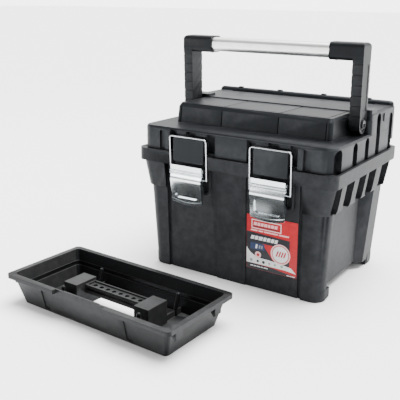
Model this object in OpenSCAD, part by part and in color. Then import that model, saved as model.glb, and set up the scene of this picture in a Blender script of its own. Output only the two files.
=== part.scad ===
// Compact carpenter's toolbox: deep tapered tub, hinged lid, two draw latches
// with wire bails, a fold-down handle and a lift-out tray.
// +X is right seen from the front, +Y points to the hinge, +Z is up. The origin
// is on the floor under the centre of the tub's rim.

/* [Tub] */
// Width over the tub's rim band
rim_w = 450; // [446:1:454]
// Depth over the tub's rim band
rim_d = 350; // [348:1:352]
// Height of the rim band's lower edge
band_low = 238; // [236:1:240]
// Height of the rim band's top, where the lid rests
band_top = 264; // [263.5:0.5:264]
// Width of the tub at the floor
base_w = 400; // [396:1:402]
// Depth of the tub at the floor
base_d = 298; // [296:1:300]
// Height of the bottom edge of the corner flares and side pockets
flare_low = 182; // [180:1:186]
// Width of the pockets' solid inner wall, measured from the centre plane
pocket_floor_x = 196; // [195:0.5:198]
// Height of the corner shoes
shoe_h = 24; // [20:1:26]
// General wall thickness of the mouldings
wall = 3.2; // [3:0.1:3.4]

/* [Lid] */
// Width of the lid's skirt
lid_w = 434; // [432:1:436]
// Depth of the lid's skirt
lid_d = 330; // [328:1:330]
// Height of the low deck along the front and the sides
deck_z = 312; // [311.5:0.5:312.5]
// Width of the raised centre block
block_w = 356; // [354:1:358]
// Height of the centre block's top
block_top = 353; // [352:1:354]
// Position of the centre block's front face
block_front = -95; // [-98:1:-92]
// Position of the front face of the tall side walls
tall_front = 14.5; // [14.5:0.5:20]

/* [Latches] */
// Distance of each latch from the centre plane
latch_x = 93.5; // [93:0.5:94]
// Width of each latch lever
lever_w = 74; // [72:1:75]

/* [Handle] */
// Height of the handle's pivots
pivot_z = 334; // [333.5:0.5:336]
// Position of the handle's pivots from front to back
pivot_y = -5; // [-6:0.5:-5]
// Height of the grip's centre line
grip_z = 474; // [470:1:476]
// Outer width over the two handle arms
arm_span = 412; // [411:1:413]
// Thickness of each arm, across the box
arm_t = 22; // [21:0.5:22]
// Depth of each arm at its pivot, front to back
arm_d = 38; // [36:1:38]
// How far the grip stands in front of the pivots
grip_lean = 5.5; // [4:0.5:6]
// Visible length of the aluminium grip tube
tube_len = 270; // [266:2:274]

/* [Tray] */
// Length of the tray's rim
tray_w = 396; // [394:1:398]
// Depth of the tray's rim
tray_d = 190; // [188:1:192]
// Height of the tray
tray_h = 60; // [60:1:62]
// Position of the tray's centre across the box
tray_x = -100; // [-140:1:0]
// Position of the tray's centre in front of the box
tray_y = -397; // [-440:1:-390]
// Turn of the tray on the floor, degrees
tray_turn = -2.3; // [-5:0.1:5]

/* [Hidden] */
$fn = 40;

plastic = "#2c2e32";
steel = "#c9ccd0";
skin = 0.2;             // thickness of the plates that a tapered form is spread over
past = 1;               // how far a cut runs past a face
rim_r = 20;             // corner radius of the rim band
body_r = 24;            // corner radius of the tub's body
tub_top_w = 422;        // body width and depth where it meets the rim band
tub_top_d = 322;
flare_w = [424, 440];   // width of the flare at its lower and upper edge
flare_d = [324, 340];   // depth of the flare at its lower and upper edge
front_slope = atan((tub_top_d - base_d)/2/band_low);

column_x = 158;         // inner edge of the front corner columns
groove_x = 150;         // inner edge of the groove beside each column
centre_x = 34;          // half width of the proud centre panel
field_cut = 2.5;        // depth of the two latch fields
groove_cut = 5;         // depth of the column grooves

recess_x = 187;         // plane of the recessed side panels
recess_front = -116;    // where the flat side panel starts and ends
recess_back = 59;
recess_run = [16, 52];  // length of the slanted faces beside it
arch_y = [-108, 102];   // raised bottom edge between the feet
arch_h = [19, 14];      // its height under the panel and under the rear column
// centre and width of each pocket between the side gussets
pockets = [[-137, 28], [-80, 40], [-15, 40], [42, 44], [120, 46]];
pocket_r = 9;           // rounding of the pockets' lower ends

cavity_x = 183.8;       // half width of the tub's main cavity
cavity_y = [144, 156];  // its half depth at the floor and at the rim
floor_z = 24;           // floor over the side arches
well_x = 146;           // half width of the lower middle floor
well_y = 137;
well_z = 5;
shelf_x = 191.5;        // half width above the side panels
shelf_z = 188;
ledge_x = 201;          // half width above the ledge that carries the stowed tray
ledge_y = 155;
ledge_z = 241;
seal_x = [207, 219];    // dust channel in the top of the band
seal_y = [162, 171];
seal_depth = 22;

latch_cut = 46;         // half width of the gap in the band at each latch
pad_y = -161;           // plane that the latch brackets are fixed to
lever_pivot = [-176.5, 234]; // lever pin, position front to back and height
bail_pivot = [-173, 214.5];  // wire ends in the lever's flanges
bail_top = [-178.1, 299];    // centre of the wire's top bar
wire_r = 1.4;
bail_half = 43.8;       // half width between the wire's centre lines
pin_r = 2;
rivet_r = 1.6;
fit = 0.05;             // radial running clearance

hinge_x = 130;          // distance of each lid hinge from the centre plane
hinge_y = 172;
hinge_z = 274;
knuckle_r = 5.5;
lid_gap = 0.3;          // gap between the lid's skirt and the band
lid_low = band_top + lid_gap;
recess_in = 36;         // inner and outer edges of the lid's latch recesses
recess_out = 145;
recess_wall = -150;     // back of the lid's latch recesses
plate_y = -176.2;       // front of the catch plates
plate_z = [247, 297];
plate_half = 36.5;

sleeve_in = tube_len/2; // inner ends of the corner sleeves
arm_out = arm_span/2;
arm_in = arm_out - arm_t;
grip_y = pivot_y - grip_lean;
sleeve_size = [41, 34.5]; // depth and height of the sleeves' section
sleeve_r = 9;
tube_size = [35, 29];   // depth and height of the tube's section
tube_r = 12;
tube_wall = 1.6;
socket = 18;            // depth of the tube in each sleeve
shank_r = 5;

pad_x = [71, 104];      // tray: inner and outer edge of the carrying bar's posts
post_y = [-34, 19];
post_top = 48;
bar_y = [-12, 14];      // tray: carrying bar
bar_z = [26, 43];
slot_y = [-46, 36];     // tray: opening in the floor under the bar

// ---------------------------------------------------------------- helpers

module rounded_rect(w, d, r) {
    square([w - 2*r, d], center = true);
    square([w, d - 2*r], center = true);
    for (sx = [-1, 1], sy = [-1, 1])
        translate([sx*(w/2 - r), sy*(d/2 - r)]) circle(r = r);
}

module slab(w, d, r, z, h = skin) {
    translate([0, 0, z]) linear_extrude(h) rounded_rect(w, d, r);
}

// A form that grows evenly from one rounded outline to another
module tapered(w0, d0, z0, w1, d1, z1, r) {
    hull() {
        slab(w0, d0, r, z0, $fn = 32);
        slab(w1, d1, r, z1 - skin, $fn = 32);
    }
}

// A box given by its lowest and highest corner
module span(low, high) {
    translate(low) cube(high - low);
}

module both_sides() {
    children();
    mirror([1, 0, 0]) children();
}

module front_and_back() {
    children();
    mirror([0, 1, 0]) children();
}

// A cylinder along X
module rod(r, x0, x1, y, z) {
    translate([x0, y, z]) rotate([0, 90, 0]) cylinder(r = r, h = x1 - x0);
}

// An outline in the YZ plane, made solid from x0 to x1
module across(x0, x1) {
    translate([x0, 0, 0]) rotate([90, 0, 90]) linear_extrude(x1 - x0) children();
}

// An outline in the XZ plane, made solid from y0 to y1
module through(y0, y1) {
    translate([0, y1, 0]) rotate([90, 0, 0]) linear_extrude(y1 - y0) children();
}

// ---------------------------------------------------------------- tub

// A cut of even depth in the sloping front wall
module front_cut(x0, x1, depth, z0, z1) {
    translate([0, -base_d/2, 0]) rotate([front_slope, 0, 0])
        span([x0, -20, z0], [x1, depth, z1]);
}

module side_recess() {
    linear_extrude(2*flare_low + 2*past, center = true) polygon([
        [tub_top_w/2 + 10, recess_front - recess_run[0]], [recess_x, recess_front],
        [recess_x, recess_back], [tub_top_w/2 + 10, recess_back + recess_run[1]]]);
}

module pocket(y, w) {
    across(pocket_floor_x, rim_w/2 + past) {
        translate([y - w/2, flare_low + pocket_r])
            square([w, band_low - flare_low - pocket_r]);
        translate([y - w/2 + pocket_r, flare_low])
            square([w - 2*pocket_r, pocket_r]);
        for (s = [-1, 1])
            translate([y + s*(w/2 - pocket_r), flare_low + pocket_r]) circle(r = pocket_r);
    }
}

module tub_body() {
    difference() {
        tapered(base_w, base_d, 0, tub_top_w, tub_top_d, band_low + past, body_r);
        front_and_back() both_sides() {
            front_cut(centre_x, groove_x + past, field_cut, -20, band_low);
            front_cut(groove_x, column_x, groove_cut, -20, band_low);
        }
        both_sides() {
            side_recess();
            span([well_x + 4, arch_y[0], -past], [rim_w/2, recess_back, arch_h[0]]);
            span([well_x + 4, recess_back - past, -past], [rim_w/2, arch_y[1], arch_h[1]]);
        }
    }
}

module tub_flare() {
    difference() {
        tapered(flare_w[0], flare_d[0], flare_low, flare_w[1], flare_d[1],
            band_low + past, body_r);
        span([-column_x, -rim_d/2, 0], [column_x, rim_d/2, rim_w]);
    }
}

module shoes() {
    intersection() {
        hull() {
            slab(base_w - 5, base_d - 5, body_r, 0, $fn = 32);
            slab(base_w + 3, base_d + 3, body_r, 4, shoe_h - 4, $fn = 32);
        }
        front_and_back() both_sides()
            span([column_x, -rim_d/2, 0], [rim_w/2, arch_y[0], shoe_h]);
    }
}

module hinge_ear(x0, x1) {
    span([x0, hinge_y - knuckle_r, band_top - 12], [x1, hinge_y + knuckle_r, hinge_z]);
    rod(knuckle_r, x0, x1, hinge_y, hinge_z);
}

// Wall behind the groove beside one column
module groove_back() {
    translate([0, -base_d/2, 0]) rotate([front_slope, 0, 0])
        span([groove_x - 4, groove_cut - 1, 0], [column_x + 4, groove_cut + 2.5, rim_w]);
}

module tub_cavity() {
    difference() {
        tapered(2*cavity_x, 2*cavity_y[0], floor_z, 2*cavity_x, 2*cavity_y[1],
            band_top + past, 12);
        front_and_back() both_sides() groove_back();
    }
    intersection() {
        tapered(base_w - 2*wall, base_d - 2*wall, floor_z,
            tub_top_w - 2*wall, tub_top_d - 2*wall, band_low, body_r - wall);
        front_and_back() both_sides()
            span([column_x + wall, -rim_d/2, 0],
                [rim_w/2, recess_front - recess_run[0], flare_low - 4]);
    }
    span([-well_x, -well_y, well_z], [well_x, well_y, floor_z + past]);
    span([-shelf_x, -118, shelf_z], [shelf_x, 118, band_top]);
    slab(2*ledge_x, 2*ledge_y, 12, ledge_z, band_top - ledge_z + past);
    channel = band_top - seal_depth;
    both_sides() {
        span([seal_x[0], -ledge_y, channel], [seal_x[1], ledge_y, band_top + past]);
        span([latch_x + latch_cut + 5, -seal_y[1], channel], [200, -seal_y[0], band_top + past]);
        span([0, seal_y[0], channel], [hinge_x - 25, seal_y[1], band_top + past]);
        span([hinge_x + 25, seal_y[0], channel], [200, seal_y[1], band_top + past]);
    }
    half = latch_x - latch_cut - 5;
    span([-half, -seal_y[1], channel], [half, -seal_y[0], band_top + past]);
}

// Raised flat on the front wall behind one latch, with a U-shaped surround
module latch_pad(x) {
    translate([x, 0, 0]) {
        span([-30, -ledge_y, 204], [30, pad_y + 10, band_low]);
        span([-30, pad_y, 204], [30, -cavity_y[1], band_low]);
        through(pad_y - 2.5, -cavity_y[1]) difference() {
            translate([0, 214]) rounded_rect(94, 66, 12);
            translate([0, 217.5]) rounded_rect(87, 65, 9);
            translate([-60, band_low]) square([120, 40]);
        }
    }
}

module rivet_row() {
    for (s = [-1, 1], t = [-1, 1]) translate([s*latch_x + t*15, 0, 215])
        rotate([90, 0, 0]) children();
}

module tub_shell() {
    color(plastic) difference() {
        union() {
            difference() {
                union() {
                    tub_body();
                    tub_flare();
                    shoes();
                    for (s = [-1, 1]) latch_pad(s*latch_x);
                }
                for (p = pockets) both_sides() pocket(p[0], p[1]);
            }
            slab(rim_w, rim_d, rim_r, band_low, band_top - band_low);
            both_sides() for (s = [-1, 1])
                hinge_ear(hinge_x + s*15.5 - 5, hinge_x + s*15.5 + 5);
        }
        tub_cavity();
        for (s = [-1, 1]) translate([s*latch_x, 0, 0])
            span([-latch_cut, -rim_d/2 - past, band_low - 2], [latch_cut, pad_y, band_top + past]);
        both_sides() rod(pin_r + 0.03, hinge_x - 30, hinge_x + 30, hinge_y, hinge_z);
        translate([0, -cavity_y[0], 0]) rivet_row() cylinder(r = rivet_r + fit, h = 30);
    }
}

// ---------------------------------------------------------------- lid

lid_grooves = [[-144.5, 26], [-65.5, 23], [-1.5, 21]]; // centre and width
tall_groove = [60, 22];
rear_groove = [136, 22];

module lid_groove(y, w, top, depth) {
    across(lid_w/2 - depth, lid_w/2 + past) {
        translate([y - w/2, lid_low - past]) square([w, top - w/2 - lid_low + past]);
        translate([y, top - w/2]) circle(d = w);
    }
}

// Shallow line cut in the block's top
module top_line(x0, y0, x1, y1) {
    span([x0, y0, block_top - 1.3], [x1, y1, block_top + 2]);
}

module block_slab(w, front, r, z) {
    back = lid_d/2 - 8;
    translate([0, (front + back)/2, 0]) slab(w, back - front, r, z, $fn = 32);
}

module block_outer() {
    hull() {
        block_slab(block_w + 4, block_front - 2, 8, deck_z - 10);
        block_slab(block_w, block_front + 3, 8, block_top - 8);
        block_slab(block_w - 8, block_front + 9, 6, block_top - skin);
    }
}

// Upright line cut in the block's leaning front
module front_line(x) {
    across(x, x + 2.5) polygon([
        [block_front - 8, deck_z], [block_front + 1, deck_z],
        [block_front + 4.8, block_top - 8], [block_front - 8, block_top - 8]]);
}

module tall_outer() {
    hull() {
        translate([0, (tall_front + lid_d/2)/2, 0]) {
            depth = lid_d/2 - tall_front;
            slab(lid_w, depth, 9, deck_z - 30, $fn = 32);
            slab(lid_w - 2, depth - 1, 9, block_top - 3, $fn = 32);
            slab(lid_w - 10, depth - 8, 7, block_top + 2, $fn = 32);
        }
    }
    // lugs behind the handle's arms
    both_sides() translate([lid_w/2 - 25.5, tall_front + 18, 0])
        tapered(49, 36, block_top - 14, 45, 32, block_top + 7, 5);
}

module rear_ridge() {
    z = block_top + 1.5;
    rod(9, -lid_w/2 + 10, lid_w/2 - 10, 150, z);
    for (s = [-1, 1]) translate([s*(lid_w/2 - 10), 150, z]) sphere(r = 9);
    for (x = [-160, -55, 55, 160])
        span([x - 5, 146, z + 5], [x + 5, 154, z + 11]);
}

module lid_recess() {
    // space for one latch under the deck, with three notches in its top
    front = -lid_d/2 - past;
    span([recess_in, front, lid_low - past], [recess_out, recess_wall, deck_z - 10]);
    for (x = [[recess_in, 56], [82, 106], [128, recess_out]])
        span([x[0], front, lid_low], [x[1], recess_wall - 5, deck_z - 3.5]);
    // shallow channel beside the outer rib
    span([156, front, lid_low - past], [172, -lid_d/2 + 5, deck_z - 8]);
}

module lid_cavity() {
    side = lid_w/2 - 15;
    back = lid_d/2 - 4;
    span([-side, recess_wall + 4, lid_low - past], [side, back, deck_z - 4]);
    span([-block_w/2 + 4, block_front + 9, lid_low], [block_w/2 - 4, 130, block_top - 4.5]);
    both_sides()
        span([recess_out + 4, -lid_d/2 + 9, lid_low - past], [side - 3, 0, deck_z - 4]);
    span([-side, tall_front + 4, lid_low], [side, 130, block_top - 5]);
    span([-side, 129, lid_low], [side, back, block_top - 13]);
}

module catch(x) {
    translate([x, 0, 0]) {
        through(plate_y, plate_y + 4) {
            translate([0, (plate_z[0] + plate_z[1])/2])
                rounded_rect(2*plate_half, plate_z[1] - plate_z[0], 4);
        }
        span([-plate_half + 3, plate_y + 2, lid_low + 3], [plate_half - 3, recess_wall + 2, 291]);
    }
}

module lid_shell() {
    tall_x = lid_w/2 - 37;
    color(plastic) difference() {
        union() {
            difference() {
                union() {
                    hull() {
                        slab(lid_w, lid_d, 22, lid_low, $fn = 32);
                        slab(lid_w, lid_d, 22, deck_z - 4, $fn = 32);
                        slab(lid_w - 6, lid_d - 6, 19, deck_z - skin, $fn = 32);
                    }
                    block_outer();
                    tall_outer();
                }
                both_sides() lid_recess();
                // dark gap in front of the rear ridge
                span([-block_w/2, 133, block_top - 9], [block_w/2, 142, block_top + 20]);
                // lines that divide the top into six panels
                for (x = [-65, 65]) top_line(x - 1, block_front, x + 1, 130);
                for (y = [block_front + 14, 21, 124]) top_line(-165, y, 165, y + 2);
                both_sides() {
                    top_line(163, block_front + 14, 165, 126);
                    // slots beside the handle's arms
                    span([158, 28, block_top - 4], [165.5, 35, block_top + 2]);
                    front_line(64);
                    front_line(166);
                    for (g = lid_grooves) lid_groove(g[0], g[1], deck_z - 4, 11);
                    lid_groove(tall_groove[0], tall_groove[1], block_top - 4, 8);
                    lid_groove(rear_groove[0], rear_groove[1], block_top - 12, 4);
                }
            }
            rear_ridge();
            both_sides() {
                // outer rib of each latch recess, and a small boss on the side
                span([recess_out, -lid_d/2 - 2.5, lid_low + past],
                    [156, -lid_d/2 + 5, deck_z - 7]);
                span([lid_w/2 - 5, 88, block_top - 24], [lid_w/2 + 1.2, 97, block_top - 8]);
                // lip that closes the gap over the tub's wall behind each latch
                span([recess_in, -157, lid_low], [recess_out, recess_wall + 2, lid_low + 4]);
                rod(12, block_w/2 - 14, arm_in - 0.4, pivot_y, pivot_z);
                rod(knuckle_r, hinge_x - 10, hinge_x + 10, hinge_y, hinge_z);
                span([hinge_x - 10, lid_d/2 - 5, lid_low + 0.7],
                    [hinge_x + 10, hinge_y, hinge_z + knuckle_r]);
            }
        }
        difference() {
            lid_cavity();
            both_sides() rod(12, block_w/2 - 14, tall_x + 20, pivot_y, pivot_z);
        }
        both_sides() {
            rod(pin_r + 0.06, hinge_x - 30, hinge_x + 30, hinge_y, hinge_z);
            rod(shank_r + 0.03, block_w/2 - 13, arm_out, pivot_y, pivot_z);
        }
    }
    color(plastic) for (s = [-1, 1]) catch(s*latch_x);
}

module hinge_pin() {
    color(steel) {
        rod(pin_r, hinge_x - 21, hinge_x + 21, hinge_y, hinge_z);
        rod(3.4, hinge_x + 21, hinge_x + 22.6, hinge_y, hinge_z);
    }
}

// ---------------------------------------------------------------- latches

module latch_base(x) {
    ear = [[pad_y - 2, 226], [lever_pivot[0] - 1.2, lever_pivot[1] - 4],
        [lever_pivot[0] + 1.5, lever_pivot[1] + 3.9], [pad_y - 2, 229.5]];
    color("#3a3c40") translate([x, 0, 0]) difference() {
        union() {
            through(pad_y - 2, pad_y) translate([0, 221]) rounded_rect(56, 30, 3);
            both_sides() {
                across(24, 26.5) polygon(ear);
                rod(4.2, 24, 26.5, lever_pivot[0], lever_pivot[1]);
            }
        }
        rod(pin_r + 0.03, -40, 40, lever_pivot[0], lever_pivot[1]);
        translate([0, pad_y + past, 215]) rotate([90, 0, 0])
            for (t = [-1, 1]) translate([t*15, 0, -5]) cylinder(r = rivet_r + fit, h = 20);
    }
}

module latch_rivets() {
    inner = -cavity_y[0] - (cavity_y[1] - cavity_y[0])*(215 - floor_z)/(band_top - floor_z);
    color(steel) rivet_row() {
        translate([0, 0, -inner - 0.5]) cylinder(r = rivet_r, h = inner - pad_y + 3);
        translate([0, 0, -pad_y + 2]) cylinder(r = 4, h = 1.4);
        translate([0, 0, -inner - 1.8]) cylinder(r = 3.6, h = 1.5);
    }
}

module lever_pin(x) {
    color(steel) translate([x, 0, 0]) {
        rod(pin_r, -38, 38, lever_pivot[0], lever_pivot[1]);
        for (s = [-1, 1]) translate([s*38, 0, 0])
            rod(3.2, -0.7, 0.7, lever_pivot[0], lever_pivot[1]);
    }
}

// Side view of the lever's pressed face: strip, shoulder and leaning panel
lever_face = [[0, 241], [0, 221], [-2.8, 214], [-3, 208], [5.5, 157]];

module lever_outline() {
    // a plate with a gently bowed lower edge
    bow_r = 117;
    intersection() {
        translate([-lever_w/2, 150]) square([lever_w, 91]);
        translate([0, 157.5 + bow_r]) circle(r = bow_r, $fn = 96);
    }
}

// The pressed face made solid between two depths behind its front
module lever_sheet(d0, d1) {
    front = lever_pivot[0] - 6.5;
    last = len(lever_face) - 1;
    intersection() {
        across(-lever_w/2, lever_w/2) polygon(concat(
            [for (i = [0 : last]) lever_face[i] + [front + d0, 0]],
            [for (i = [last : -1 : 0]) lever_face[i] + [front + d1, 0]]));
        through(front - 20, front + 20) lever_outline();
    }
}

module latch_lever(x) {
    front = lever_pivot[0] - 6.5;
    dish_slope = atan(8.5/51);
    flange = [[front + 1, 241], [front + 1, 221], [front - 1.8, 214], [front - 2, 208],
        [front + 5.5, 163], [front + 9, 166], [front + 13, 204], [front + 13, 219],
        [lever_pivot[0] + 3.5, 241]];
    color(steel) translate([x, 0, 0]) difference() {
        union() {
            lever_sheet(0, 2);
            // lip along the lower edge
            intersection() {
                lever_sheet(-1.2, 1);
                through(front - 20, front + 20) difference() {
                    lever_outline();
                    translate([0, 6]) lever_outline();
                }
            }
            // back of the dish
            translate([0, front - 3, 208]) rotate([dish_slope, 0, 0])
                through(1, 5) translate([0, -22]) rounded_rect(60, 34, 8);
            for (z = [229, 223.9]) rod(1.8, -lever_w/2 - 2, lever_w/2 + 2, front + 0.2, z);
            both_sides() across(lever_w/2 - 2.5, lever_w/2) polygon(flange);
        }
        // dish
        translate([0, front - 3, 208]) rotate([dish_slope, 0, 0])
            through(-4, 3.4) translate([0, -22]) rounded_rect(56, 30, 7);
        // pressed lines beside the two beads
        for (z = [230.8, 225.8, 220.6])
            span([-lever_w/2 - 3, front - 3, z], [lever_w/2 + 3, front + 1.2, z + 1.4]);
        rod(pin_r + fit, -40, 40, lever_pivot[0], lever_pivot[1]);
        rod(wire_r + fit, -40, 40, bail_pivot[0], bail_pivot[1]);
    }
}

module bail(x) {
    lean = atan((bail_pivot[0] - bail_top[0])/(bail_top[1] - bail_pivot[1]));
    rise = norm(bail_top - bail_pivot);
    bend = 6;
    color(steel) translate([x, bail_pivot[0], bail_pivot[1]]) rotate([lean, 0, 0]) {
        both_sides() {
            translate([bail_half, 0, 0]) cylinder(r = wire_r, h = rise - bend);
            translate([bail_half, 0, 0]) sphere(r = wire_r);
            rod(wire_r, lever_w/2 - 5, bail_half, 0, 0);
            translate([bail_half - bend, 0, rise - bend]) rotate([90, 0, 0])
                rotate_extrude(angle = 90) translate([bend, 0]) circle(r = wire_r);
        }
        rod(wire_r, -bail_half + bend, bail_half - bend, 0, rise);
    }
}

// ---------------------------------------------------------------- handle

// Side view of an arm, which widens a little and leans forward towards the grip
function arm_front(z) = pivot_y - arm_d/2
    - (grip_lean + (sleeve_size[0] - arm_d)/2)*(z - pivot_z)/(grip_z - pivot_z);
function arm_back(z) = pivot_y + arm_d/2
    - (grip_lean - (sleeve_size[0] - arm_d)/2)*(z - pivot_z)/(grip_z - pivot_z);

module sleeve_section() {
    translate([grip_y, grip_z]) rounded_rect(sleeve_size[0], sleeve_size[1], sleeve_r);
}

module tube_section(grow) {
    translate([grip_y, grip_z])
        rounded_rect(tube_size[0] + 2*grow, tube_size[1] + 2*grow, tube_r + grow);
}

module handle_arm() {
    color(plastic) difference() {
        intersection() {
            union() {
                across(arm_in, arm_out) {
                    polygon([[arm_front(pivot_z), pivot_z], [arm_front(grip_z), grip_z],
                        [arm_back(grip_z), grip_z], [arm_back(pivot_z), pivot_z]]);
                    translate([pivot_y, pivot_z]) circle(d = arm_d);
                }
                across(sleeve_in, arm_out) sleeve_section();
            }
            through(-rim_d, rim_d) corner_outline();
        }
        // lines across the arm's front and back
        for (z = [pivot_z + 16 : 20 : grip_z - 24]) {
            span([arm_in - past, arm_front(z) - 4, z], [arm_out + past, arm_front(z) + 1.6, z + 2]);
            span([arm_in - past, arm_back(z) - 1.6, z], [arm_out + past, arm_back(z) + 4, z + 2]);
        }
        // shallow panel on the outer side, and the ring round the pivot
        across(arm_out - 0.8, arm_out + past) polygon([
            [arm_front(360) + 8, 360], [arm_front(450) + 8, 450],
            [arm_back(450) - 8, 450], [arm_back(360) - 8, 360]]);
        difference() {
            rod(14, arm_out - 1.4, arm_out + past, pivot_y, pivot_z);
            rod(11.5, arm_out - 2, arm_out + 2, pivot_y, pivot_z);
        }
        rod(shank_r + fit, arm_in - 5, arm_out + 5, pivot_y, pivot_z);
        across(sleeve_in - past, sleeve_in + socket + 0.2) tube_section(0.1);
        translate([sleeve_in + socket/2, grip_y, grip_z - 20]) cylinder(r = 2 + fit, h = 20);
    }
}

module corner_outline() {
    // the arm and its sleeve seen from the front, with a rounded outer corner
    top = grip_z + sleeve_size[1]/2;
    r = 8;
    translate([0, pivot_z - arm_d]) square([arm_out, top - r - pivot_z + arm_d]);
    translate([0, pivot_z - arm_d]) square([arm_out - r, top - pivot_z + arm_d]);
    translate([arm_out - r, top - r]) circle(r = r);
}

module grip_tube() {
    color("#d4d6d8") difference() {
        across(-sleeve_in - socket, sleeve_in + socket) difference() {
            tube_section(0);
            tube_section(-tube_wall);
        }
        both_sides() translate([sleeve_in + socket/2, grip_y, grip_z - 20])
            cylinder(r = 2 + fit, h = 20);
    }
}

module grip_screws() {
    color(steel) both_sides()
        translate([sleeve_in + socket/2, grip_y, grip_z - sleeve_size[1]/2]) {
            cylinder(r = 2, h = 8);
            translate([0, 0, -1.6]) cylinder(r = 3.6, h = 1.6);
        }
}

module handle_pivot() {
    head = arm_out + 0.3;
    color(steel) difference() {
        union() {
            rod(shank_r, block_w/2 - 12, head, pivot_y, pivot_z);
            rod(8.5, head, head + 2.4, pivot_y, pivot_z);
        }
        span([head + 1.2, pivot_y - 5, pivot_z - 0.8], [head + 5, pivot_y + 5, pivot_z + 0.8]);
    }
}

// ---------------------------------------------------------------- tray

module tray_hook(y) {
    translate([0, y + 9, 0]) rotate([90, 0, 0]) linear_extrude(18) difference() {
        polygon([[180, tray_h - 7], [tray_w/2 - 1, tray_h - 7], [tray_w/2 - 1, tray_h - 23],
            [tray_w/2 - 5, tray_h - 25]]);
        polygon([[188, tray_h - 8.5], [tray_w/2 - 3, tray_h - 8.5],
            [tray_w/2 - 3, tray_h - 18]]);
    }
}

module tray_outer() {
    flange_z = tray_h - 8;
    difference() {
        union() {
            tapered(350, 146, 0, 378, 172, flange_z + past, 8);
            slab(tray_w, tray_d, 9, flange_z, 8);
            for (y = [-66, 45]) both_sides() tray_hook(y);
        }
        // the flange stops at the arched middle of the front wall
        span([-70, -tray_d/2 - past, flange_z - past], [52, -tray_d/2 + 8, tray_h + past]);
        // grooves in the sloping front wall
        for (x = [-107, 97]) across(x - 7, x + 7)
            polygon([[-90, 5], [-72.3, 5], [-82, flange_z - 7], [-90, flange_z - 7]]);
    }
    // arch in the middle of the front wall, between two dips
    through(-tray_d/2 + 8, -tray_d/2 + 12)
        polygon([[-74, flange_z - 6], [-74, tray_h - 2], [-66, tray_h - 5], [-60, tray_h - 5],
            [-50, tray_h + 1], [36, tray_h + 1], [44, tray_h - 5], [50, tray_h - 5],
            [56, tray_h - 2], [56, flange_z - 6]]);
}

module tray_hollow() {
    // two narrow ledges run round the inside
    tapered(340, 136, 3, 352, 148, 30 + past, 8);
    slab(359, 154, 8, 30, 8 + past);
    tapered(364, 158, 38, 374, 168, tray_h + past, 8);
}

module tray_grip() {
    both_sides() difference() {
        span([pad_x[0], post_y[0], 0], [pad_x[1], post_y[1], post_top]);
        span([pad_x[0] + 4, post_y[0] + 6, -past], [pad_x[1] - 4, post_y[1] - 6, post_top - 4]);
    }
    // perforated bar with two ribs along its front
    difference() {
        span([-pad_x[0] - past, bar_y[0], bar_z[0]], [pad_x[0] + past, bar_y[1], bar_z[1]]);
        span([-pad_x[0] + 4, bar_y[0] + 3, bar_z[1] - 3], [pad_x[0] - 4, bar_y[1] - 3, bar_z[1] + past]);
        span([-pad_x[0] + 4, bar_y[0] + 3, bar_z[0] - past], [pad_x[0] - 4, bar_y[1] - 3, bar_z[1] - 6]);
        span([-pad_x[0] + 4, bar_y[0] - past, 32], [pad_x[0] - 4, bar_y[0] + 1.2, 37]);
        for (x = [-56 : 16 : 56]) translate([x, 1, bar_z[0]]) cylinder(r = 4.5, h = 20);
    }
    // low dividers, and rounded posts beside the walls
    both_sides() {
        span([95.5, -68, 2], [98.5, 68, 14]);
        hull() for (p = [[97, 53, 16], [97, 61, 42]]) translate(p) sphere(r = 4, $fn = 24);
        translate([97, 53, 2]) cylinder(r = 4, h = 14);
        translate([93, -46, 2]) cylinder(r = 4, h = 40);
        translate([93, -46, 42]) sphere(r = 4);
    }
}

module finger_slot() {
    translate([0, (slot_y[0] + slot_y[1])/2])
        rounded_rect(2*pad_x[0] - 2, slot_y[1] - slot_y[0], 11);
}

module tray_shell() {
    color(plastic) translate([tray_x, tray_y, 0]) rotate([0, 0, tray_turn]) difference() {
        union() {
            difference() {
                tray_outer();
                tray_hollow();
            }
            tray_grip();
        }
        translate([0, 0, -past]) linear_extrude(wall + 2*past) finger_slot();
    }
}

// ---------------------------------------------------------------- label

module label_sticker() {
    color("#b02a2a") translate([0, -base_d/2, 0]) rotate([front_slope, 0, 0])
        span([36, field_cut - 0.6, 42], [148, field_cut - 0.05, 158]);
}

tub_shell();
lid_shell();
mirror([1, 0, 0]) hinge_pin();  // hinge_pin_left
hinge_pin();  // hinge_pin_right
latch_base(-latch_x);  // latch_base_left
latch_base(latch_x);  // latch_base_right
latch_rivets();
lever_pin(-latch_x);  // lever_pin_left
lever_pin(latch_x);  // lever_pin_right
latch_lever(-latch_x);  // latch_lever_left
latch_lever(latch_x);  // latch_lever_right
bail(-latch_x);  // bail_left
bail(latch_x);  // bail_right
mirror([1, 0, 0]) handle_arm();  // handle_arm_left
handle_arm();  // handle_arm_right
grip_tube();
grip_screws();
mirror([1, 0, 0]) handle_pivot();  // handle_pivot_left
handle_pivot();  // handle_pivot_right
tray_shell();
label_sticker();
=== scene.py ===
import math

import bmesh
import bpy
from mathutils import Matrix, Vector


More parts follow.
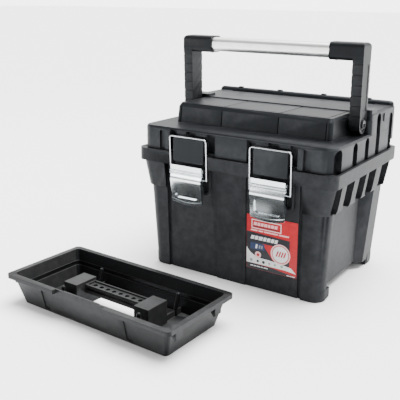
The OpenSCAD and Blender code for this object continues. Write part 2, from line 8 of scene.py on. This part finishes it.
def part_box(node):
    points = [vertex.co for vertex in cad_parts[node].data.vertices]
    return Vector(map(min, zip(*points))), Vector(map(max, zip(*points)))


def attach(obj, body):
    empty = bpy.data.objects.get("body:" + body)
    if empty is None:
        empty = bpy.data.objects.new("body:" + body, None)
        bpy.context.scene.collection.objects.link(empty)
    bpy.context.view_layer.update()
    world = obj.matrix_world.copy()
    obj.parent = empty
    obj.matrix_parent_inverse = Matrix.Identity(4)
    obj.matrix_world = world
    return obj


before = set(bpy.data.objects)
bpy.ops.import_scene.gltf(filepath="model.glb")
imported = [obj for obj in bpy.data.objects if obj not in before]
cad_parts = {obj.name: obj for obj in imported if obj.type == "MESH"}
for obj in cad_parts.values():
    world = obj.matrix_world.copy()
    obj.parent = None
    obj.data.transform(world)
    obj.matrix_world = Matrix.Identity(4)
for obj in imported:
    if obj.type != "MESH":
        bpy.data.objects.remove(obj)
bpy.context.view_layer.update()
MM = 0.001

# ------------------------------------------------------------------ camera

CAMERA_AT = Vector((0.650, -1.265, 0.564))
CAMERA_YAW = math.radians(33.2)      # turned to the left of straight ahead
CAMERA_PITCH = math.radians(16.7)    # tipped down
CAMERA_ROLL = math.radians(0.75)
LENS_MM = 59.9
SENSOR_MM = 36.0

# surroundings: strength of the sky in front, behind, and its share overhead
FRONT_SKY = 0.9
BACK_SKY = 5.0
HIGH_SKY = 0.36
FLOOR_HALF = 40.0
FLOOR_DROP = 0.0002                 # keeps the floor just under the feet

# modifiers on the CAD nodes
WELD_GAP = 0.00002
FLAT_ANGLE = math.radians(0.6)
EDGE_ANGLE = math.radians(28)
# nodes whose flat faces are left unmerged; merging breaks the outlines of the tray
UNMERGED_NODES = ("tray_shell", "tub_shell")

# label: inks, and the film that they lie on, in metres
LABEL_RED = (0.42, 0.010, 0.016)
LABEL_INK = (0.012, 0.014, 0.018)
LABEL_WHITE = (0.62, 0.63, 0.63)
LABEL_PINK = (0.70, 0.42, 0.42)
LABEL_GREY = (0.22, 0.23, 0.25)
LABEL_GREEN = (0.20, 0.36, 0.26)
LABEL_BLUE = (0.020, 0.035, 0.10)
STICKER_THICK = 0.00055
FILM = 0.00006                      # thickness of one printed layer
FILM_LIFT = 0.00002                 # gap between the sticker and the first layer


def make_camera():
    ahead = Vector((-math.sin(CAMERA_YAW) * math.cos(CAMERA_PITCH),
                    math.cos(CAMERA_YAW) * math.cos(CAMERA_PITCH),
                    -math.sin(CAMERA_PITCH)))
    level = ahead.cross(Vector((0, 0, 1))).normalized()
    upright = level.cross(ahead)
    right = math.cos(CAMERA_ROLL) * level + math.sin(CAMERA_ROLL) * upright
    up = -math.sin(CAMERA_ROLL) * level + math.cos(CAMERA_ROLL) * upright
    data = bpy.data.cameras.new("camera")
    data.lens = LENS_MM
    data.sensor_width = SENSOR_MM
    camera = bpy.data.objects.new("camera", data)
    bpy.context.scene.collection.objects.link(camera)
    turn = Matrix((right, up, -ahead)).transposed().to_4x4()
    camera.matrix_world = Matrix.Translation(CAMERA_AT) @ turn
    bpy.context.scene.camera = camera


# ------------------------------------------------------------------ materials

class Shader:
    """A small helper that builds one node material."""

    def __init__(self, name, color, rough, metal=0.0, specular=0.5):
        self.material = bpy.data.materials.new(name)
        self.material.use_nodes = True
        self.nodes = self.material.node_tree.nodes
        self.links = self.material.node_tree.links
        self.out = self.nodes["Principled BSDF"]
        self.set(self.out, "Base Color", (*color, 1))
        self.set(self.out, "Roughness", rough)
        self.set(self.out, "Metallic", metal)
        self.set(self.out, "Specular IOR Level", specular)
        self.where = self.add("ShaderNodeTexCoord").outputs["Object"]

    def add(self, kind, **settings):
        node = self.nodes.new(kind)
        for key, value in settings.items():
            setattr(node, key, value)
        return node

    def set(self, node, socket, value):
        node.inputs[socket].default_value = value

    def link(self, source, node, socket):
        self.links.new(source, node.inputs[socket])

    def stretched(self, scale):
        mapping = self.add("ShaderNodeMapping")
        self.set(mapping, "Scale", scale)
        self.link(self.where, mapping, "Vector")
        return mapping.outputs["Vector"]

    def noise(self, scale, detail=4.0, rough=0.6, where=None):
        node = self.add("ShaderNodeTexNoise")
        self.set(node, "Scale", scale)
        self.set(node, "Detail", detail)
        self.set(node, "Roughness", rough)
        self.link(where or self.where, node, "Vector")
        return node.outputs["Fac"]

    def remap(self, value, low, high, to_low, to_high):
        node = self.add("ShaderNodeMapRange")
        for socket, number in (("From Min", low), ("From Max", high),
                               ("To Min", to_low), ("To Max", to_high)):
            self.set(node, socket, number)
        self.link(value, node, "Value")
        return node.outputs["Result"]

    def math(self, operation, a, b):
        node = self.add("ShaderNodeMath", operation=operation)
        for index, value in enumerate((a, b)):
            if isinstance(value, (int, float)):
                node.inputs[index].default_value = value
            else:
                self.links.new(value, node.inputs[index])
        return node.outputs[0]

    def mix(self, share, low, high):
        node = self.add("ShaderNodeMix", data_type="RGBA")
        for socket, value in ((0, share), (6, low), (7, high)):
            if isinstance(value, (int, float)):
                node.inputs[socket].default_value = value
            elif isinstance(value, tuple):
                node.inputs[socket].default_value = (*value, 1)
            else:
                self.links.new(value, node.inputs[socket])
        return node.outputs[2]

    def bump(self, height, strength, distance):
        node = self.add("ShaderNodeBump")
        self.set(node, "Strength", strength)
        self.set(node, "Distance", distance)
        self.link(height, node, "Height")
        return node.outputs["Normal"]

    def edges(self, low=0.52, high=0.62):
        """1 along outer edges, where wear and a painted edge highlight go, 0 on flat and hollow
        places.
        """
        sharp = self.add("ShaderNodeNewGeometry").outputs["Pointiness"]
        return self.remap(sharp, low, high, 0.0, 1.0)


def moulded_plastic(name, color, rough, specular=0.3, grain=0.00012, wear_and_highlight=0.5):
    """Dark injection-moulded plastic with a fine spark-eroded grain; its outer edges are
    lightened, partly as wear and partly as a painted highlight.
    """
    s = Shader(name, color, rough, specular=specular)
    s.set(s.out, "Specular Tint", (0.86, 0.93, 1.0, 1))
    fine = s.noise(1500, 3, 0.7)
    pores = s.noise(420, 2, 0.5)
    cloudy = s.noise(5, 3, 0.5)
    # painted highlight: edge colour far lighter than wear alone, standing in for bright edge
    # reflections
    worn_and_highlight = tuple(c * 4 + 0.035 for c in color)
    dusty = tuple(c * 1.2 for c in color)
    tone = s.mix(s.remap(cloudy, 0.35, 0.8, 0.0, 0.5), color, dusty)
    # mask for wear and the painted edge highlight along outer edges
    scuff_and_highlight = s.math("MULTIPLY", s.edges(), s.remap(s.noise(60, 4), 0.35, 0.75, 0.25, wear_and_highlight))
    s.link(s.mix(scuff_and_highlight, tone, worn_and_highlight), s.out, "Base Color")
    s.link(s.remap(s.math("ADD", cloudy, s.math("MULTIPLY", fine, 0.3)), 0.4, 1.0,
                   rough - 0.02, rough + 0.03), s.out, "Roughness")
    height = s.math("ADD", fine, s.math("MULTIPLY", pores, 0.6))
    s.link(s.bump(height, 0.25, grain), s.out, "Normal")
    return s.material


def bright_metal(name, color, rough, brush=(6, 400, 400), grain=0.00002, spread=0.08):
    """Metal with fine drawn lines and a slightly uneven shine."""
    s = Shader(name, color, rough, metal=1.0)
    lines = s.noise(8, 4, 0.7, s.stretched(brush))
    cloudy = s.noise(35, 4, 0.6)
    dull = tuple(c * 0.80 for c in color)
    s.link(s.mix(s.remap(cloudy, 0.35, 0.75, 0.0, 0.7), color, dull), s.out, "Base Color")
    s.link(s.remap(s.math("ADD", s.math("MULTIPLY", lines, 0.6), s.math("MULTIPLY", cloudy, 0.4)),
                   0.3, 0.7, max(rough - spread, 0.03), rough + spread), s.out, "Roughness")
    s.link(s.bump(lines, 0.4, grain), s.out, "Normal")
    return s.material


def printed_film(name, color, fade=0.25):
    """Ink on a thin glossy film, a little uneven and rubbed."""
    s = Shader(name, color, 0.34, specular=0.35)
    pale = tuple(c + (0.75 - c) * 0.12 for c in color)
    dark = tuple(c * (1 - fade) for c in color)
    tone = s.mix(s.remap(s.noise(140, 5, 0.7), 0.35, 0.7, 0.0, 1.0), dark, color)
    rubbed = s.remap(s.noise(900, 3, 0.6), 0.6, 0.8, 0.0, 0.6)
    s.link(s.mix(rubbed, tone, pale), s.out, "Base Color")
    s.link(s.remap(s.noise(60, 4), 0.3, 0.7, 0.26, 0.44), s.out, "Roughness")
    s.link(s.bump(s.noise(500, 3), 0.3, 0.00003), s.out, "Normal")
    return s.material


def floor_paint():
    s = Shader("floor_paint", (0.90, 0.90, 0.90), 0.8, specular=0.1)
    s.link(s.mix(s.noise(3, 3), (0.89, 0.89, 0.89), (0.92, 0.92, 0.92)), s.out, "Base Color")
    return s.material


# ------------------------------------------------------------------ CAD nodes

def rounded_edges(node, width, merged):
    """Softens a CAD node's edges with modifiers; its own mesh stays as it is."""
    weld = node.modifiers.new("weld", "WELD")
    weld.merge_threshold = WELD_GAP
    if merged:
        flat = node.modifiers.new("flat", "DECIMATE")
        flat.decimate_type = "DISSOLVE"
        flat.angle_limit = FLAT_ANGLE
    bevel = node.modifiers.new("bevel", "BEVEL")
    bevel.width = width
    bevel.segments = 3
    bevel.limit_method = "ANGLE"
    bevel.angle_limit = EDGE_ANGLE
    bevel.use_clamp_overlap = True
    bevel.miter_outer = "MITER_ARC"
    normals = node.modifiers.new("normals", "WEIGHTED_NORMAL")
    normals.keep_sharp = False
    normals.weight = 80
    for face in node.data.polygons:
        face.use_smooth = True


def paint(node, material):
    node.data.materials.clear()
    node.data.materials.append(material)


def dress_cad_nodes():
    tub = moulded_plastic("tub_plastic", (0.0024, 0.0027, 0.0034), 0.42, 0.095)
    lid = moulded_plastic("lid_plastic", (0.0034, 0.0038, 0.0047), 0.42, 0.16)
    grip = moulded_plastic("handle_plastic", (0.0028, 0.0030, 0.0034), 0.40, 0.13)
    tray = moulded_plastic("tray_plastic", (0.0040, 0.0041, 0.0042), 0.36, 0.14)
    chrome = bright_metal("chrome_plate", (0.70, 0.75, 0.77), 0.15, spread=0.03,
                          grain=0.000006)
    wire = bright_metal("drawn_wire", (0.46, 0.48, 0.50), 0.22, brush=(300, 300, 20))
    zinc = bright_metal("zinc_plate", (0.40, 0.41, 0.43), 0.32)
    coated = moulded_plastic("black_coat", (0.008, 0.008, 0.009), 0.38, grain=0.00005)
    tube = bright_metal("anodised_tube", (0.86, 0.86, 0.85), 0.36, brush=(5, 500, 500),
                        grain=0.00004, spread=0.06)
    label = printed_film("label_red", LABEL_RED)
    finishes = {
        "tub_shell": (tub, 0.0009), "lid_shell": (lid, 0.0009),
        "tray_shell": (tray, 0.0007), "handle_arm_left": (grip, 0.0010),
        "handle_arm_right": (grip, 0.0010), "grip_tube": (tube, 0.0003),
        "grip_screws": (zinc, 0.0003), "handle_pivot_left": (coated, 0.0006),
        "handle_pivot_right": (coated, 0.0006), "latch_rivets": (zinc, 0.0003),
        "label_sticker": (label, 0.0)}
    for side in ("left", "right"):
        finishes["hinge_pin_" + side] = (zinc, 0.0003)
        finishes["latch_base_" + side] = (coated, 0.0003)
        finishes["lever_pin_" + side] = (zinc, 0.0003)
        finishes["latch_lever_" + side] = (chrome, 0.0007)
        finishes["bail_" + side] = (wire, 0.0)
    for name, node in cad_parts.items():
        material, width = finishes[name]
        paint(node, material)
        if width:
            rounded_edges(node, width, merged=name not in UNMERGED_NODES)


# ------------------------------------------------------------------ label

def printed(name, outline, layer, material):
    """A flat printed shape on the label: outline in label millimetres, layer 1 is lowest."""
    low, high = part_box("label_sticker")
    low = Vector(low)
    high = Vector(high)
    rise = high.z - low.z
    lean = high.y - low.y - STICKER_THICK
    up = Vector((0, -lean, rise)).normalized()
    out = Vector((0, -rise, -lean)).normalized()
    corner = Vector((low.x, high.y - STICKER_THICK, low.z)) + out * FILM_LIFT
    mesh = bpy.data.meshes.new(name)
    form = bmesh.new()
    base = corner + out * FILM * (layer - 1)
    ring = [form.verts.new(base + Vector((x * MM, 0, 0)) + up * (z * MM)) for x, z in outline]
    face = form.faces.new(ring)
    grown = bmesh.ops.extrude_face_region(form, geom=[face])
    for item in grown["geom"]:
        if isinstance(item, bmesh.types.BMVert):
            item.co += out * FILM
    bmesh.ops.recalc_face_normals(form, faces=form.faces)
    form.to_mesh(mesh)
    form.free()
    piece = bpy.data.objects.new(name, mesh)
    bpy.context.scene.collection.objects.link(piece)
    mesh.materials.append(material)
    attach(piece, "tub")


def disc(x, z, radius, steps=36):
    return [(x + radius * math.cos(2 * math.pi * i / steps),
             z + radius * math.sin(2 * math.pi * i / steps)) for i in range(steps)]


def bar(x0, z0, x1, z1):
    return [(x0, z0), (x1, z0), (x1, z1), (x0, z1)]


def leaning_bars(name, x, z, widths, height, layer, material, gap=1.4, lean=1.2):
    """A row of plain slanted blocks that stands in for a printed word."""
    for index, width in enumerate(widths):
        printed(f"{name}_{index}", [(x, z), (x + width, z), (x + width + lean, z + height),
                                    (x + lean, z + height)], layer, material)
        x += width + gap


def print_label():
    red = printed_film("label_red_ink", LABEL_RED)
    ink = printed_film("label_black_ink", LABEL_INK)
    white = printed_film("label_white_ink", LABEL_WHITE, fade=0.12)
    pink = printed_film("label_pink_ink", LABEL_PINK, fade=0.15)
    grey = printed_film("label_grey_ink", LABEL_GREY)
    green = printed_film("label_green_ink", LABEL_GREEN)
    blue = printed_film("label_blue_ink", LABEL_BLUE)
    # dark field, open to the left, with a slanted right end
    printed("label_field", [(0.3, 14), (58, 14), (96, 22), (96, 76), (0.3, 80)], 1, ink)
    # strip of film below the artwork
    printed("label_foot", [(0.3, 0.3), (111.7, 0.3), (111.7, 3), (60, 10), (0.3, 12)], 1, ink)
    # framed plate in the header, filled with plain blocks
    printed("label_plate_rim", bar(11, 88, 77, 107), 1, white)
    printed("label_plate", bar(12.6, 89.6, 75.4, 105.4), 2, red)
    printed("label_plate_line", bar(15, 91.5, 73, 93.2), 3, ink)
    leaning_bars("label_plate_block", 15.5, 95, (7, 6, 6, 7, 5, 7, 6), 6.5, 3, pink)
    leaning_bars("label_motto", 9, 82.6, (15, 10, 30, 22), 3.0, 2, pink, gap=2.4)
    # word on the dark field
    leaning_bars("label_word", 9, 64.5, (7, 7, 8.5, 6.5, 7, 6.5, 6), 8.0, 2, white,
                 gap=1.8, lean=2.4)
    # red wedge, blue plate and a small spot
    printed("label_wedge", [(36, 58), (62, 58), (82, 24), (60, 27)], 2, red)
    printed("label_panel", bar(9, 43, 41, 57), 3, blue)
    printed("label_panel_bar", [(20, 45.5), (24, 45.5), (25.5, 54.5), (21.5, 54.5)], 4, white)
    leaning_bars("label_panel_mark", 27.5, 46.5, (3.4, 3.4), 7, 4, grey, gap=1.6)
    printed("label_spot", disc(26.5, 32.5, 7), 4, pink)
    printed("label_spot_core", disc(26.5, 32.5, 3.2), 5, red)
    # white band with a rising curve on the left and a point on the right
    band = [(0.3, 12), (88, 12), (111, 9.0), (100, 19.5), (70, 24), (50, 25.5), (33, 26),
            (20, 29), (10, 34), (4, 40), (0.3, 46)]
    printed("label_band", band, 3, white)
    for index, (x, size, ink_used) in enumerate((
            (11, 3.6, grey), (26, 3.0, ink), (39, 3.4, ink), (52, 2.4, grey),
            (65, 2.6, green), (80, 3.2, green))):
        printed(f"label_sign_{index}", disc(x, 18.3, size, 6 + index), 4, ink_used)
    # round badge
    printed("label_badge", disc(76.5, 43.5, 21.5), 5, pink)
    printed("label_badge_ring", disc(76.5, 43.5, 18.8), 6, red)
    printed("label_badge_face", disc(76.5, 43.5, 17.2), 7, white)
    leaning_bars("label_badge_mark", 66, 38, (3.2, 3.2, 3.2, 3.2), 12, 8, red, gap=2.2, lean=4)
    # fine print below
    leaning_bars("label_small", 9, 5.4, (6, 5, 8, 5, 9), 2.0, 2, white, gap=1.6, lean=0.5)
    leaning_bars("label_code", 91, 1.4, (5, 4, 6), 1.6, 2, white, gap=1.3, lean=0.4)


# ------------------------------------------------------------------ stage

def area_light(name, at, towards, size, watts):
    data = bpy.data.lights.new(name, "AREA")
    data.shape = "RECTANGLE"
    data.size, data.size_y = size
    data.energy = watts
    light = bpy.data.objects.new(name, data)
    light.location = at
    light.rotation_mode = "QUATERNION"
    light.rotation_quaternion = (Vector(towards) - Vector(at)).to_track_quat("-Z", "Y")
    bpy.context.scene.collection.objects.link(light)


def studio_sky():
    """Pale surroundings: bright behind and above, dimmer in front of the box."""
    world = bpy.context.scene.world or bpy.data.worlds.new("world")
    bpy.context.scene.world = world
    world.use_nodes = True
    nodes = world.node_tree.nodes
    links = world.node_tree.links
    sky = nodes["Background"]
    where = nodes.new("ShaderNodeTexCoord")
    split = nodes.new("ShaderNodeSeparateXYZ")
    links.new(where.outputs["Generated"], split.inputs[0])
    ramp = nodes.new("ShaderNodeMapRange")
    ramp.inputs["From Min"].default_value = -0.7
    ramp.inputs["From Max"].default_value = 0.5
    ramp.inputs["To Min"].default_value = FRONT_SKY
    ramp.inputs["To Max"].default_value = BACK_SKY
    links.new(split.outputs["Y"], ramp.inputs["Value"])
    rise = nodes.new("ShaderNodeMapRange")
    rise.inputs["From Min"].default_value = 0.04
    rise.inputs["From Max"].default_value = 0.22
    rise.inputs["To Min"].default_value = 1.0
    rise.inputs["To Max"].default_value = HIGH_SKY
    links.new(split.outputs["Z"], rise.inputs["Value"])
    strength = nodes.new("ShaderNodeMath")
    strength.operation = "MULTIPLY"
    links.new(ramp.outputs["Result"], strength.inputs[0])
    links.new(rise.outputs["Result"], strength.inputs[1])
    sky.inputs["Color"].default_value = (1, 1, 1, 1)
    links.new(strength.outputs[0], sky.inputs["Strength"])


def make_stage():
    mesh = bpy.data.meshes.new("floor")
    half = FLOOR_HALF
    mesh.from_pydata([(-half, -half, 0), (half, -half, 0), (half, half, 0), (-half, half, 0)],
                     [], [(0, 1, 2, 3)])
    floor = bpy.data.objects.new("floor", mesh)
    bpy.context.scene.collection.objects.link(floor)
    floor.location.z = -FLOOR_DROP
    mesh.materials.append(floor_paint())
    studio_sky()
    centre = (0, -0.1, 0.2)
    sun = bpy.data.lights.new("ceiling", "SUN")
    sun.energy = 11.0
    sun.angle = math.radians(50)
    ceiling = bpy.data.objects.new("ceiling", sun)
    ceiling.rotation_euler = (math.radians(-14), math.radians(6), 0)
    bpy.context.scene.collection.objects.link(ceiling)
    area_light("top_light", (0.0, 0.6, 2.4), centre, (3.0, 2.0), 20)
    area_light("front_card", (-1.2, -1.9, 0.9), (-0.05, -0.1, 0.34), (0.5, 0.5), 7)
    area_light("right_strip", (1.7, -1.7, 1.0), centre, (0.35, 1.4), 12)
    area_light("left_box", (-2.2, -0.6, 0.9), centre, (0.9, 1.4), 15)
    area_light("side_box", (2.3, 1.0, 0.9), centre, (1.4, 1.4), 2)


make_camera()
make_stage()
dress_cad_nodes()
print_label()
